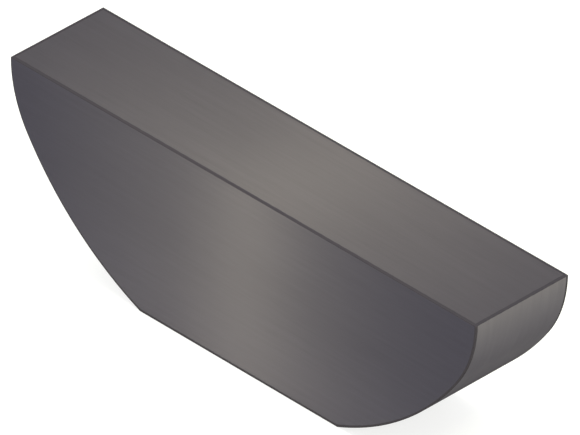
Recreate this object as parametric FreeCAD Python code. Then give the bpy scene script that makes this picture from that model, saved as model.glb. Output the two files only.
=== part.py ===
import FreeCAD, Part

import math
import os

# Woodruff key with a flat bottom, one solid piece of steel, in millimetres.
# X runs along the key, Y across its width and Z up, from the middle of the bottom flat.

# Driving dimensions
key_width = 10.0  # from flank to flank, the width of the keyway
seat_diameter = 56.0  # of the round underside that seats in the shaft
round_height = 18.75  # from the top face to the lowest point of the full round form
flat_cut = 2.15  # depth of the slice that the bottom flat takes off the round form
end_radius = 11.2  # of the arc that turns each end upright at the top face
edge_break = 0.12  # leg of the 45 degree break along the sharp edges

# Derived sizes
key_height = round_height - flat_cut
seat_radius = seat_diameter / 2
seat_centre_z = seat_radius - flat_cut
flat_half_length = math.sqrt(seat_radius**2 - seat_centre_z**2)

# The end arc lies inside the seat arc and touches it, with its centre level with the top face.
between_centres = seat_radius - end_radius
end_centre_x = math.sqrt(between_centres**2 - (seat_centre_z - key_height) ** 2)
half_length = end_centre_x + end_radius

# Angles of the points where the arcs start and end, from +X towards +Z
flat_end_angle = math.atan2(-seat_centre_z, flat_half_length)
blend_angle = math.atan2(key_height - seat_centre_z, end_centre_x)
upright_angle = 0.0


def point(x, z):
    """A point of the outline, on the flank that faces -Y."""
    return FreeCAD.Vector(x, -key_width / 2, z)


def arc(centre_x, centre_z, radius, start, end):
    """The arc of a circle in the flank's plane, through its middle point."""
    angles = (start, (start + end) / 2, end)
    places = [
        point(centre_x + radius * math.cos(a), centre_z + radius * math.sin(a))
        for a in angles
    ]
    return Part.Arc(*places).toShape()


def outline():
    """The side view as a closed wire: bottom flat, seat arcs, end arcs and top line."""
    right_side = [
        arc(0.0, seat_centre_z, seat_radius, flat_end_angle, blend_angle),
        arc(end_centre_x, key_height, end_radius, blend_angle, upright_angle),
    ]
    middle = FreeCAD.Vector(0, 0, 0)
    along = FreeCAD.Vector(1, 0, 0)
    left_side = [edge.mirror(middle, along) for edge in reversed(right_side)]
    bottom_flat = Part.makeLine(point(-flat_half_length, 0), point(flat_half_length, 0))
    top_line = Part.makeLine(point(half_length, key_height), point(-half_length, key_height))
    return Part.Wire([bottom_flat, *right_side, top_line, *left_side])


def sharp_edges(blank):
    """Both loops round the flanks, and the short edge at each end of the top face."""
    chosen = []
    for edge in blank.Edges:
        crosswise = edge.BoundBox.YLength > key_width / 2
        at_the_top = edge.BoundBox.ZMin > key_height - edge_break
        if at_the_top or not crosswise:
            chosen.append(edge)
    return chosen


def woodruff_key():
    """The outline drawn out to the full width, with its sharp edges broken."""
    blank = Part.Face(outline()).extrude(FreeCAD.Vector(0, key_width, 0))
    return blank.makeChamfer(edge_break, sharp_edges(blank))


os.makedirs("parts", exist_ok=True)
woodruff_key().exportStep("parts/woodruff_key.step")
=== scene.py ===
import math

import bpy
from mathutils import Matrix, Vector


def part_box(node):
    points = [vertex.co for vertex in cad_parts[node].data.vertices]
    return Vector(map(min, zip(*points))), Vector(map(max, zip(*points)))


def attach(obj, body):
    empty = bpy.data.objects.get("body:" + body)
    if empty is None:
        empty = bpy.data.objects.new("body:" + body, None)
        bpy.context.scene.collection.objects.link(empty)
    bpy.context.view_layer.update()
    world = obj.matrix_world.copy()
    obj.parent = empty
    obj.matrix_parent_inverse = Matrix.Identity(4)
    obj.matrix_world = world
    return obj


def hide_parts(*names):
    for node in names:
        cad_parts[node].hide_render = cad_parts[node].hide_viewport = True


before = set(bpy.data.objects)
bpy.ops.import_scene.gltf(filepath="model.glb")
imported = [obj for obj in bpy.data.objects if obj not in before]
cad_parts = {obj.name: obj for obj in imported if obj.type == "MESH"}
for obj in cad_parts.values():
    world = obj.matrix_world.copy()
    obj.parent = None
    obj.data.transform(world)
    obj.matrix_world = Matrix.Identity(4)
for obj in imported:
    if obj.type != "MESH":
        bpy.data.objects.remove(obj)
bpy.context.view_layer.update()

MM = 0.001

# Form of the key. The first three sizes are the frame's. In the side view a point is (x, z).
HALF_LENGTH, HALF_WIDTH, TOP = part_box("woodruff_key")[1]
SEAT_RADIUS = 28.0 * MM
END_RADIUS = 11.2 * MM
EDGE_ROUNDING = 0.06 * MM  # along both flanks and across the ends of the top face
BLUNT_ROUNDING = 0.3 * MM  # where the milled flat runs out into the seat
ROUNDING_STEPS = 5
SEAT_STEPS = 40
END_STEPS = 36

# The end arc is level with the top face and touches the seat arc from inside.
END_CENTRE = Vector((HALF_LENGTH - END_RADIUS, TOP))
BETWEEN_CENTRES = SEAT_RADIUS - END_RADIUS
SEAT_CENTRE = Vector((0, TOP + math.sqrt(BETWEEN_CENTRES**2 - END_CENTRE.x**2)))

# Flattened faces, laid out one above another on a square sheet
SHEET = 75 * MM
SHEET_GAP = 1.5 * MM

# Steel
GROUND_STEEL = (0.0604, 0.0573, 0.0782)
TURNED_STEEL = (0.138, 0.132, 0.151)
DARK_EDGE = (0.0412, 0.0386, 0.0525, 1)
DARK_EDGE_ROUGHNESS = 0.7

# Lay of the fine lines: a small share on an axis draws them out along it.
ALONG_THE_KEY = (0.04, 1.0, 1.0)
ROUND_THE_RIM = (0.04, 1.0, 0.04)
QUARTER_TURN = 0.25
FAR_IN_FRONT = (0, -100, 0)

# Marks in the steel. A scale is in marks per millimetre, and a tone is a share of the colour.
LINE_TONE = 0.26
LINE_ROUGHNESS = 0.12
SCRATCH_SCALE = 0.31  # as a share of the lines'
SCRATCH_TONE = 0.18
SCRATCH_HEIGHT = 0.5
CLOUD_SCALE = 0.16
CLOUD_TONE = 0.1
CLOUD_ROUGHNESS = 0.06
NICK_SCALE = 1.7
RELIEF = 0.15

# How far the dull band reaches in from an edge, in millimetres
DULL_ON_TOP = 0.28
DULL_UNDER_TOP = 0.065  # on the flanks, just below the top face
DULL_ON_FLANK = 0.25  # at the foot
DULL_NARROWING = 0.09  # for each millimetre above the foot
DULL_ON_RIM = 0.24
DULL_FADE = (0.85, 1.15)  # shares of the reach between which the band ends
DULL_FRAYING = 0.3  # by nicks

# Heights in millimetres between which the painted shade that makes the foot of the rim duller and
# the painted light that makes the foot of the key lighter end
PAINTED_SHADE_FOOT = (6.0, 11.0)
PAINTED_LIGHT_FOOT = (0.0, 10.0)
PAINTED_LIGHT_FOOT_TONE = 0.15

# Lamps: distance, width, length and brightness
FLANK_STRIP = (68 * MM, 4 * MM, TOP, 7.2)
FLANK_PANEL = (115 * MM, 26 * MM, TOP, 3.5)
TOP_STRIP = (70 * MM, 6 * MM, 50 * MM, 1.73)
TOP_PANEL = (215 * MM, 40 * MM, 100 * MM, 2.95)
END_PANEL = (110 * MM, 50 * MM, TOP, 5.4)

# How far from the middle of its face a lamp is turned to
FLANK_STRIP_SHIFT = 3.8 * MM  # to the right, seen from the lamp
FLANK_PANEL_SHIFT = 1.3 * MM
TOP_STRIP_SHIFT = 1.0 * MM  # towards +X
END_SHIFT = 3.0 * MM  # outwards

# Lamps that lean along the key show their band to a camera at three quarters.
LAMP_LEAN = 0.576
END_LEAN = 0.1
LAMP_SPREAD = math.radians(90)
WARM = (1.0, 0.955, 0.57)

# The floor takes shadows with its colour and is brought up to white by its glow.
FLOOR_REACH = 40.0  # metres each way
PALE = (0.29, 0.3, 0.32, 1)
GLOW = 0.76
WHITE = (1, 1, 1, 1)

# The camera, fitted to the outline of the key in a picture of 580 by 435 pixels
PICTURE_WIDTH = 580
PICTURE_CENTRE = Vector((289.5, 217.0))
TOP_EDGE_PIXEL = Vector((240.34, 189.87))  # of the middle of the front top edge
PIXEL = MM / 13.111  # size of one pixel at the key
VIEW_AZIMUTH = math.radians(44.63)
VIEW_ELEVATION = math.radians(34.37)
VIEW_ROLL = math.radians(0.995)
LENS = 1250
SENSOR = 36


def direction(angle):
    """The direction at that angle in the side view, from +X towards +Z."""
    return Vector((math.cos(angle), math.sin(angle)))


def arc(centre, radius, start, end, steps):
    """Points of an arc, each with its outward direction."""
    angles = [start + (end - start) * i / steps for i in range(steps + 1)]
    return [(centre + radius * direction(angle), direction(angle)) for angle in angles]


def rounding_in(centre, radius, rounding, height):
    """Centre of a small rounding that touches an arc from inside, and the angle where it does."""
    reach = radius - rounding
    place = Vector((centre.x + math.sqrt(reach**2 - (height - centre.y) ** 2), height))
    return place, math.atan2(height - centre.y, place.x - centre.x)


def half_outline():
    """The side view of the +X half, from the bottom flat up to the top face."""
    blunt, seat_start = rounding_in(SEAT_CENTRE, SEAT_RADIUS, BLUNT_ROUNDING, BLUNT_ROUNDING)
    crisp, end_stop = rounding_in(END_CENTRE, END_RADIUS, EDGE_ROUNDING, TOP - EDGE_ROUNDING)
    meeting = math.atan2(TOP - SEAT_CENTRE.y, END_CENTRE.x)
    places = arc(blunt, BLUNT_ROUNDING, -math.pi / 2, seat_start, ROUNDING_STEPS)
    places += arc(SEAT_CENTRE, SEAT_RADIUS, seat_start, meeting, SEAT_STEPS)[1:]
    places += arc(END_CENTRE, END_RADIUS, meeting, end_stop, END_STEPS)[1:]
    places += arc(crisp, EDGE_ROUNDING, end_stop, math.pi / 2, ROUNDING_STEPS)[1:]
    return places


def outline():
    """The side view from the -X end of the top face down, along the flat, and up at the +X end."""
    right = half_outline()
    left = [(Vector((-p.x, p.y)), Vector((-n.x, n.y))) for p, n in reversed(right)]
    return left + right


def sections():
    """Rings from the back flank to the front one: inset, place along Y, and slope."""
    front = []
    for i in range(ROUNDING_STEPS + 1):
        slope = math.pi / 2 * i / ROUNDING_STEPS
        inset = EDGE_ROUNDING * (1 - math.cos(slope))
        y = HALF_WIDTH - EDGE_ROUNDING * (1 - math.sin(slope))
        front.append((inset, -y, slope))
    back = [(inset, -y, -slope) for inset, y, slope in reversed(front)]
    return back + front


def lengths(points):
    """Length of a chain of points up to each of them."""
    total = [0.0]
    for a, b in zip(points, points[1:]):
        total.append(total[-1] + (b - a).length)
    return total


class KeyMesh:
    """The key's points and normals, and its faces with their finishes and flattened places."""

    def __init__(self, finishes):
        self.finishes = finishes
        self.points = []
        self.normals = []
        self.faces = []
        self.face_finishes = []
        self.flat_places = []

    def ring(self, loop, inset, y, slope):
        """Adds the outline at one section."""
        for place, outward in loop:
            at = place - inset * outward
            flat = math.cos(slope)
            self.points.append(Vector((at.x, y, at.y)))
            self.normals.append(Vector((outward.x * flat, -math.sin(slope), outward.y * flat)))

    def face(self, corners, finish, flat_corners, row):
        """Adds a face, flattened so that its lay runs along the sheet."""
        self.faces.append(corners)
        self.face_finishes.append(self.finishes.index(finish))
        for along, across in flat_corners:
            self.flat_places.append(((SHEET_GAP + along) / SHEET, (row + across) / SHEET))

    def made(self, name):
        """The finished object."""
        mesh = bpy.data.meshes.new(name)
        mesh.from_pydata(self.points, [], self.faces)
        for finish in self.finishes:
            mesh.materials.append(finish)
        mesh.polygons.foreach_set("material_index", self.face_finishes)
        mesh.uv_layers.new(name="OFBake")
        sheet_values = [value for place in self.flat_places for value in place]
        mesh.uv_layers["OFBake"].uv.foreach_set("vector", sheet_values)
        mesh.shade_smooth()
        mesh.normals_split_custom_set_from_vertices(self.normals)
        # The gloss turns about the middle of this box, so a far one gives a lay along the key.
        mesh.use_auto_texspace = False
        mesh.texspace_location = FAR_IN_FRONT
        mesh.texspace_size = (1, 1, 1)
        key = bpy.data.objects.new(name, mesh)
        bpy.context.collection.objects.link(key)
        return key


def key_mesh(ground, turned, milled):
    """The rim as rings of quads, and the two flanks as level strips between its halves."""
    loop = outline()
    rings = sections()
    count = len(loop)
    key = KeyMesh([ground, turned, milled])
    for ring in rings:
        key.ring(loop, *ring)

    along = lengths([place for place, _ in loop])
    across = lengths([Vector((inset, y)) for inset, y, _ in rings])
    rim_row = SHEET_GAP
    top_row = rim_row + across[-1] + SHEET_GAP
    front_row = top_row + across[-1] + SHEET_GAP
    back_row = front_row + TOP + SHEET_GAP
    for j in range(len(rings) - 1):
        for i in range(count):
            after = (i + 1) % count
            grid = ((i, j), (after, j), (after, j + 1), (i, j + 1))
            corners = [b * count + a for a, b in grid]
            if after == 0:
                flat = [(HALF_LENGTH + loop[a][0].x, across[b]) for a, b in grid]
                key.face(corners, ground, flat, top_row)
            else:
                finish = milled if after == count // 2 else turned
                flat = [(along[a], across[b]) for a, b in grid]
                key.face(corners, finish, flat, rim_row)

    for ring, row, step in ((len(rings) - 1, front_row, 1), (0, back_row, -1)):
        for i in range(count // 2 - 1):
            strip = (i, i + 1, count - 2 - i, count - 1 - i)[::step]
            corners = [ring * count + a for a in strip]
            flat = [(HALF_LENGTH + key.points[a].x, key.points[a].z) for a in corners]
            key.face(corners, ground, flat, row)
    return key.made("woodruff_key_finished")


class Field:
    """A value that changes over a surface. Arithmetic on it adds Math nodes."""

    def __init__(self, finish, socket):
        self.finish = finish
        self.socket = socket

    def __add__(self, other):
        return self.finish.math("ADD", self, other)

    def __sub__(self, other):
        return self.finish.math("SUBTRACT", self, other)

    def __rsub__(self, other):
        return self.finish.math("SUBTRACT", other, self)

    def __mul__(self, other):
        return self.finish.math("MULTIPLY", self, other)

    __radd__ = __add__
    __rmul__ = __mul__


class Finish:
    """A finish built node by node, for a material or the world."""

    def __init__(self, owner):
        owner.use_nodes = True
        self.owner = owner
        self.tree = owner.node_tree
        self.tree.nodes.clear()

    def node(self, kind, settings, sockets):
        """Adds a node, its settings first and then its sockets, and gives its outputs by name."""
        made = self.tree.nodes.new(kind)
        for name, setting in settings.items():
            setattr(made, name, setting)
        shown = [socket for socket in made.inputs if socket.enabled]
        names = [socket.name for socket in shown]
        for key, given in sockets.items():
            socket = shown[key if isinstance(key, int) else names.index(key)]
            if isinstance(given, Field):
                self.tree.links.new(given.socket, socket)
            else:
                socket.default_value = given
        return {socket.name: Field(self, socket) for socket in made.outputs if socket.enabled}

    def math(self, operation, *values):
        """A Math node on up to three values."""
        sockets = dict(enumerate(values))
        return self.node("ShaderNodeMath", {"operation": operation}, sockets)["Value"]

    def least(self, a, b):
        return self.math("MINIMUM", a, b)

    def greatest(self, a, b):
        return self.math("MAXIMUM", a, b)

    def size(self, value):
        return self.math("ABSOLUTE", value)

    def distance(self, a, b):
        """Length of the slant over two lengths at right angles."""
        return self.math("SQRT", a * a + b * b)

    def fade(self, value, start, end):
        """1 up to start, and smoothly down to 0 at end."""
        settings = {"interpolation_type": "SMOOTHSTEP"}
        sockets = {"Value": value, "From Min": start, "From Max": end, "To Min": 1.0, "To Max": 0.0}
        return self.node("ShaderNodeMapRange", settings, sockets)["Result"]

    def noise(self, place, scale, detail, roughness=0.5):
        """Noise that is even about 0, and keeps within one half of it."""
        sockets = {"Vector": place, "Scale": scale, "Detail": detail, "Roughness": roughness}
        return self.node("ShaderNodeTexNoise", {}, sockets)["Fac"] - 0.5

    def together(self, x, y, z):
        return self.node("ShaderNodeCombineXYZ", {}, {"X": x, "Y": y, "Z": z})["Vector"]

    def scaled(self, colour, factor):
        """A colour made lighter or darker."""
        sockets = {"Vector": colour, "Scale": factor}
        return self.node("ShaderNodeVectorMath", {"operation": "SCALE"}, sockets)["Vector"]


def edge_distance(finish, x, y, z, inward):
    """How far a place is from the nearest edge of the key, as a share of the dull band's reach."""
    side = HALF_WIDTH / MM - finish.size(y)
    out = finish.size(x)
    up = TOP / MM - z
    seat_gap = SEAT_RADIUS / MM - finish.distance(x, SEAT_CENTRE.y / MM - z)
    end_gap = END_RADIUS / MM - finish.distance(out - END_CENTRE.x / MM, up)
    # Beyond the line through both centres the outline is the end arc, and before it the seat.
    rise = (SEAT_CENTRE.y - TOP) / END_CENTRE.x
    at_end = finish.math("GREATER_THAN", out * rise, SEAT_CENTRE.y / MM - z)
    round_gap = seat_gap + at_end * (end_gap - seat_gap)
    below_top = up * (1 / DULL_UNDER_TOP)
    from_outline = finish.least(z, round_gap) * (1 + DULL_NARROWING * z)
    gap = finish.least(below_top, from_outline * (1 / DULL_ON_FLANK))
    flank_edge = finish.distance(side * (1 / inward), gap)
    top_corner = finish.distance((HALF_LENGTH / MM - out) * (1 / inward), below_top)
    return finish.least(flank_edge, top_corner)


def steel(name, tint, grazing, dull_reach, painted_foot_shade, lay, coarseness, depth, roughness, stretch):
    """Bare steel with fine lines along its lay, and edges that have gone dull and dark. A painted
    light makes it lighter towards the foot, and a painted shade makes the foot duller and darker,
    as strongly as painted_foot_shade asks.
    """
    finish = Finish(bpy.data.materials.new(name))
    place = finish.node("ShaderNodeTexCoord", {}, {})["Object"]
    metres = finish.node("ShaderNodeSeparateXYZ", {}, {0: place})
    x, y, z = (metres[axis] * (1 / MM) for axis in "XYZ")
    drawn = finish.together(x * lay[0], y * lay[1], z * lay[2])
    bare = finish.together(x, y, z)
    lines = finish.noise(drawn, coarseness, detail=3.0, roughness=0.6)
    scratches = finish.noise(drawn, coarseness * SCRATCH_SCALE, detail=2.0)
    clouds = finish.noise(bare, CLOUD_SCALE, detail=2.0)
    nicks = finish.noise(bare, NICK_SCALE, detail=3.0)

    gap = edge_distance(finish, x, y, z, dull_reach) + DULL_FRAYING * nicks
    # The dull edges are mixed with a painted shade at the foot, wherever painted_foot_shade is not
    # 0.
    edge = finish.greatest(finish.fade(gap, *DULL_FADE), painted_foot_shade * finish.fade(z, *PAINTED_SHADE_FOOT))
    marks = LINE_TONE * lines + SCRATCH_TONE * scratches + CLOUD_TONE * clouds
    # The colour is lighter towards the foot: painted light.
    tone = 1.0 + marks + PAINTED_LIGHT_FOOT_TONE * finish.fade(z, *PAINTED_LIGHT_FOOT)
    roughness = roughness + LINE_ROUGHNESS * lines + CLOUD_ROUGHNESS * clouds
    height = lines + SCRATCH_HEIGHT * scratches
    relief = {"Strength": RELIEF, "Distance": depth, "Height": height}
    bump = finish.node("ShaderNodeBump", {}, relief)["Normal"]
    bright = finish.node(
        "ShaderNodeBsdfPrincipled",
        {},
        {
            "Base Color": finish.scaled(tint, tone),
            "Metallic": 1.0,
            "Roughness": roughness,
            "Specular Tint": (grazing, grazing, grazing, 1),
            "Anisotropic": stretch,
            "Anisotropic Rotation": QUARTER_TURN,
            "Normal": bump,
        },
    )
    dull = finish.node(
        "ShaderNodeBsdfPrincipled",
        {},
        {"Base Color": DARK_EDGE, "Roughness": DARK_EDGE_ROUGHNESS, "Specular IOR Level": 0.0},
    )
    surface = finish.node("ShaderNodeMixShader", {}, {0: edge, 1: bright["BSDF"], 2: dull["BSDF"]})
    finish.node("ShaderNodeOutputMaterial", {}, {"Surface": surface["Shader"]})
    return finish.owner


def camera():
    """A long lens, so that edges along the key stay parallel as they do in the picture."""
    level = Vector((math.cos(VIEW_AZIMUTH), math.sin(VIEW_AZIMUTH), 0))
    away = Vector((-math.sin(VIEW_AZIMUTH), math.cos(VIEW_AZIMUTH), 0))
    upright = away * math.sin(VIEW_ELEVATION) + Vector((0, 0, math.cos(VIEW_ELEVATION)))
    right = level * math.cos(VIEW_ROLL) + upright * math.sin(VIEW_ROLL)
    up = upright * math.cos(VIEW_ROLL) - level * math.sin(VIEW_ROLL)
    back = right.cross(up)
    offset = (TOP_EDGE_PIXEL - PICTURE_CENTRE) * PIXEL
    distance = PICTURE_WIDTH * PIXEL / SENSOR * LENS
    top_edge = Vector((0, -HALF_WIDTH, TOP))
    place = top_edge - right * offset.x + up * offset.y + back * distance
    lens = bpy.data.cameras.new("long_lens")
    lens.lens = LENS
    lens.sensor_width = SENSOR
    lens.clip_start = distance / 10
    lens.clip_end = distance * 10
    view = bpy.data.objects.new("long_lens", lens)
    turned = Matrix((right, up, back)).transposed().to_4x4()
    view.matrix_world = Matrix.Translation(place) @ turned
    bpy.context.collection.objects.link(view)
    bpy.context.scene.camera = view


def lamp(name, heading, aim, kind):
    """A soft lamp turned to a point of the key, its width in line with the key, that isn't seen."""
    distance, width, length, brightness = kind
    towards = Vector(heading).normalized()
    across = (Vector((1, 0, 0)) - towards * towards.x).normalized()
    facing = Matrix((across, towards.cross(across), towards)).transposed()
    light = bpy.data.lights.new(name, "AREA")
    light.shape = "RECTANGLE"
    light.size = width
    light.size_y = length
    light.energy = brightness * math.pi * width * length
    light.color = WARM
    light.spread = LAMP_SPREAD
    made = bpy.data.objects.new(name, light)
    made.matrix_world = Matrix.Translation(aim + towards * distance) @ facing.to_4x4()
    made.visible_camera = False
    bpy.context.collection.objects.link(made)


def flank_lamps(name, side, lean):
    """A narrow and a wide lamp before a flank, no higher than the key, so only it shows them."""
    heading = (lean, side * math.sqrt(1 - lean**2), 0)
    strip_aim = Vector((-side * FLANK_STRIP_SHIFT, 0, TOP / 2))
    panel_aim = Vector((-side * FLANK_PANEL_SHIFT, 0, TOP / 2))
    lamp(f"{name} strip", heading, strip_aim, FLANK_STRIP)
    lamp(f"{name} panel", heading, panel_aim, FLANK_PANEL)


def top_lamps(name, lean):
    """A narrow and a wide lamp over the top face, leaning along the key."""
    heading = (lean, 0, math.sqrt(1 - lean**2))
    lamp(f"{name} strip", heading, Vector((TOP_STRIP_SHIFT, 0, TOP)), TOP_STRIP)
    lamp(f"{name} panel", heading, Vector((0, 0, TOP)), TOP_PANEL)


def end_lamp(name, side):
    """A wide lamp before a round end, no higher than the key."""
    heading = (side, side * END_LEAN, 0)
    lamp(name, heading, Vector((side * END_SHIFT, 0, TOP / 2)), END_PANEL)


def floor():
    """A plain pale floor that keeps a soft shadow under the key."""
    mesh = bpy.data.meshes.new("floor")
    signs = ((-1, -1), (1, -1), (1, 1), (-1, 1))
    corners = [(x * FLOOR_REACH, y * FLOOR_REACH, 0) for x, y in signs]
    mesh.from_pydata(corners, [], [(0, 1, 2, 3)])
    ground = bpy.data.objects.new("floor", mesh)
    bpy.context.collection.objects.link(ground)
    finish = Finish(bpy.data.materials.new("pale floor"))
    matt = finish.node("ShaderNodeBsdfDiffuse", {}, {"Color": PALE})["BSDF"]
    ray = finish.node("ShaderNodeLightPath", {}, {})
    mirrored = finish.greatest(ray["Is Glossy Ray"], ray["Is Transmission Ray"])
    seen = finish.greatest(ray["Is Camera Ray"], mirrored)
    glow = finish.node("ShaderNodeEmission", {}, {"Strength": GLOW * seen})["Emission"]
    surface = finish.node("ShaderNodeAddShader", {}, {0: matt, 1: glow})["Shader"]
    finish.node("ShaderNodeOutputMaterial", {}, {"Surface": surface})
    mesh.materials.append(finish.owner)


def room():
    """Even white light from all round."""
    world = bpy.data.worlds.new("studio")
    bpy.context.scene.world = world
    finish = Finish(world)
    white = finish.node("ShaderNodeBackground", {}, {"Color": WHITE, "Strength": 1.0})
    finish.node("ShaderNodeOutputWorld", {}, {"Surface": white["Background"]})


ground_steel = steel(
    "ground steel",
    tint=GROUND_STEEL,
    grazing=0.8,
    dull_reach=DULL_ON_TOP,
    painted_foot_shade=0.0,
    lay=ALONG_THE_KEY,
    coarseness=9.0,
    depth=0.02 * MM,
    roughness=0.4,
    stretch=1.0,
)
turned_steel = steel(
    "turned steel",
    tint=TURNED_STEEL,
    grazing=0.28,
    dull_reach=DULL_ON_RIM,
    # The foot of the rim is darkened by a painted shade.
    painted_foot_shade=0.75,
    lay=ROUND_THE_RIM,
    coarseness=7.0,
    depth=0.01 * MM,
    roughness=0.55,
    stretch=0.3,
)
milled_steel = steel(
    "milled steel",
    tint=TURNED_STEEL,
    grazing=0.8,
    dull_reach=DULL_ON_RIM,
    painted_foot_shade=0.0,
    lay=ALONG_THE_KEY,
    coarseness=4.0,
    depth=0.03 * MM,
    roughness=0.5,
    stretch=0.5,
)
key = key_mesh(ground_steel, turned_steel, milled_steel)
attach(key, "root")
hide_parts("woodruff_key")

camera()
floor()
room()
flank_lamps("front left", -1, -LAMP_LEAN)
flank_lamps("front middle", -1, 0)
flank_lamps("front right", -1, LAMP_LEAN)
flank_lamps("back left", 1, -LAMP_LEAN)
flank_lamps("back middle", 1, 0)
flank_lamps("back right", 1, LAMP_LEAN)
top_lamps("top left", -LAMP_LEAN)
top_lamps("top middle", 0)
top_lamps("top right", LAMP_LEAN)
end_lamp("right end panel", 1)
end_lamp("left end panel", -1)

scene = bpy.context.scene
scene.view_settings.view_transform = "Standard"
